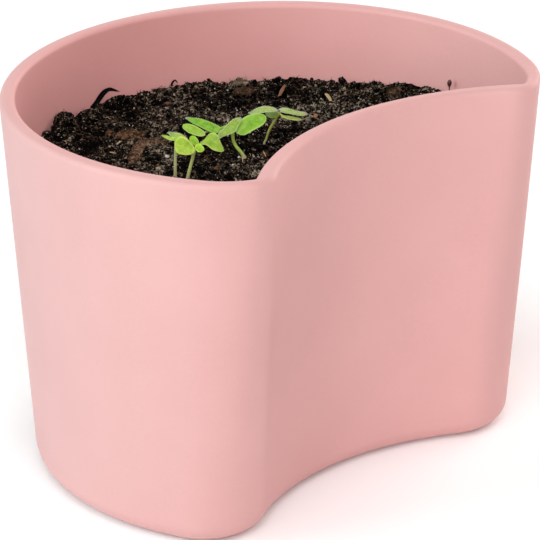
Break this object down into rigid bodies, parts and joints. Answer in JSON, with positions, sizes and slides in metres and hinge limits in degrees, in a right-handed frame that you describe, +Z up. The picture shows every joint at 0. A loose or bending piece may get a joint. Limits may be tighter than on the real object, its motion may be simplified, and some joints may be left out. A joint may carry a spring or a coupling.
{
  "type": "seed grow kit",
  "caption": "Moulded plastic pot with one scooped side, filled with potting compost in which young seedlings grow; the planting lifts out and each seedling pulls up.",
  "frame": {"origin": "on the ground under the centre of the pot's bounding box", "axes": "+Z up; the scooped side faces -Y; +X to the right seen from the scooped side, so the plane X = 0 is the pot's mirror plane"},
  "size_m": [0.1646, 0.1364, 0.1182],
  "materials": {
    "pot_plastic": "matt pink moulded plastic with a very fine texture and no gloss",
    "compost": "dark peat compost, crumbly and dull, with fibres and tiny pale specks",
    "brown_fibre": "dry brown fibrous compost",
    "bark": "rough thin bark",
    "pale_wood": "raw pale wood splinter",
    "orange_wood": "raw orange-brown wood",
    "mineral": "white porous mineral grain",
    "leaf_litter": "thin black decayed leaf, slightly shiny",
    "seed_case": "smooth dark red-brown seed case",
    "stem": "soft living stem, pale yellow-green, faintly downy",
    "cotyledon": "smooth young leaf, bright green with a paler edge, satin",
    "true_leaf": "downy young leaf, green with pale hairs"
  },
  "bodies": {
    "pot": {"pot_shell": "pot_plastic"},
    "planting": {"potting_compost": "compost", "soil_clump_left": "compost", "soil_clump_back": "compost", "brown_clod": "brown_fibre", "brown_ridge": "brown_fibre", "fibre_clod_back": "brown_fibre", "fibre_clod_right": "brown_fibre", "soil_crumb_front": "brown_fibre", "bark_chip": "bark", "wood_chip": "pale_wood", "orange_chip": "orange_wood", "splinter_upper": "pale_wood", "splinter_lower": "pale_wood", "mineral_fleck": "mineral", "leaf_curl_tall": "leaf_litter", "leaf_curl_small": "leaf_litter", "seed_case": "seed_case"},
    "seedling_1": {"seedling_1_stem_root": "stem", "seedling_1_cotyledon_left": "cotyledon", "seedling_1_true_leaf_back": "true_leaf", "seedling_1_cotyledon_right": "cotyledon"},
    "seedling_2": {"seedling_2_stem_root": "stem", "seedling_2_cotyledon_left": "cotyledon", "seedling_2_leaf_bud_upper": "true_leaf", "seedling_2_leaf_bud_lower": "true_leaf", "seedling_2_cotyledon_right": "cotyledon"},
    "seedling_3": {"seedling_3_stem_root": "stem", "seedling_3_true_leaf_left": "true_leaf", "seedling_3_cotyledon_left": "cotyledon", "seedling_3_true_leaf_front": "true_leaf", "seedling_3_cotyledon_right": "cotyledon"},
    "seedling_4": {"seedling_4_stem_root": "stem", "seedling_4_true_leaf_left": "true_leaf", "seedling_4_cotyledon_left": "cotyledon", "seedling_4_true_leaf_right": "true_leaf", "seedling_4_cotyledon_right": "cotyledon"}
  },
  "joints": [
    {"name": "planting_lift", "type": "slide", "parent": "pot", "child": "planting", "axis": [0, 0, 1], "range_m": [0, 0.13]},
    {"name": "seedling_1_lift", "type": "slide", "parent": "planting", "child": "seedling_1", "axis": [0, 0, 1], "range_m": [0, 0.06]},
    {"name": "seedling_2_lift", "type": "slide", "parent": "planting", "child": "seedling_2", "axis": [0, 0, 1], "range_m": [0, 0.06]},
    {"name": "seedling_3_lift", "type": "slide", "parent": "planting", "child": "seedling_3", "axis": [0, 0, 1], "range_m": [0, 0.06]},
    {"name": "seedling_4_lift", "type": "slide", "parent": "planting", "child": "seedling_4", "axis": [0, 0, 1], "range_m": [0, 0.06]}
  ]
}
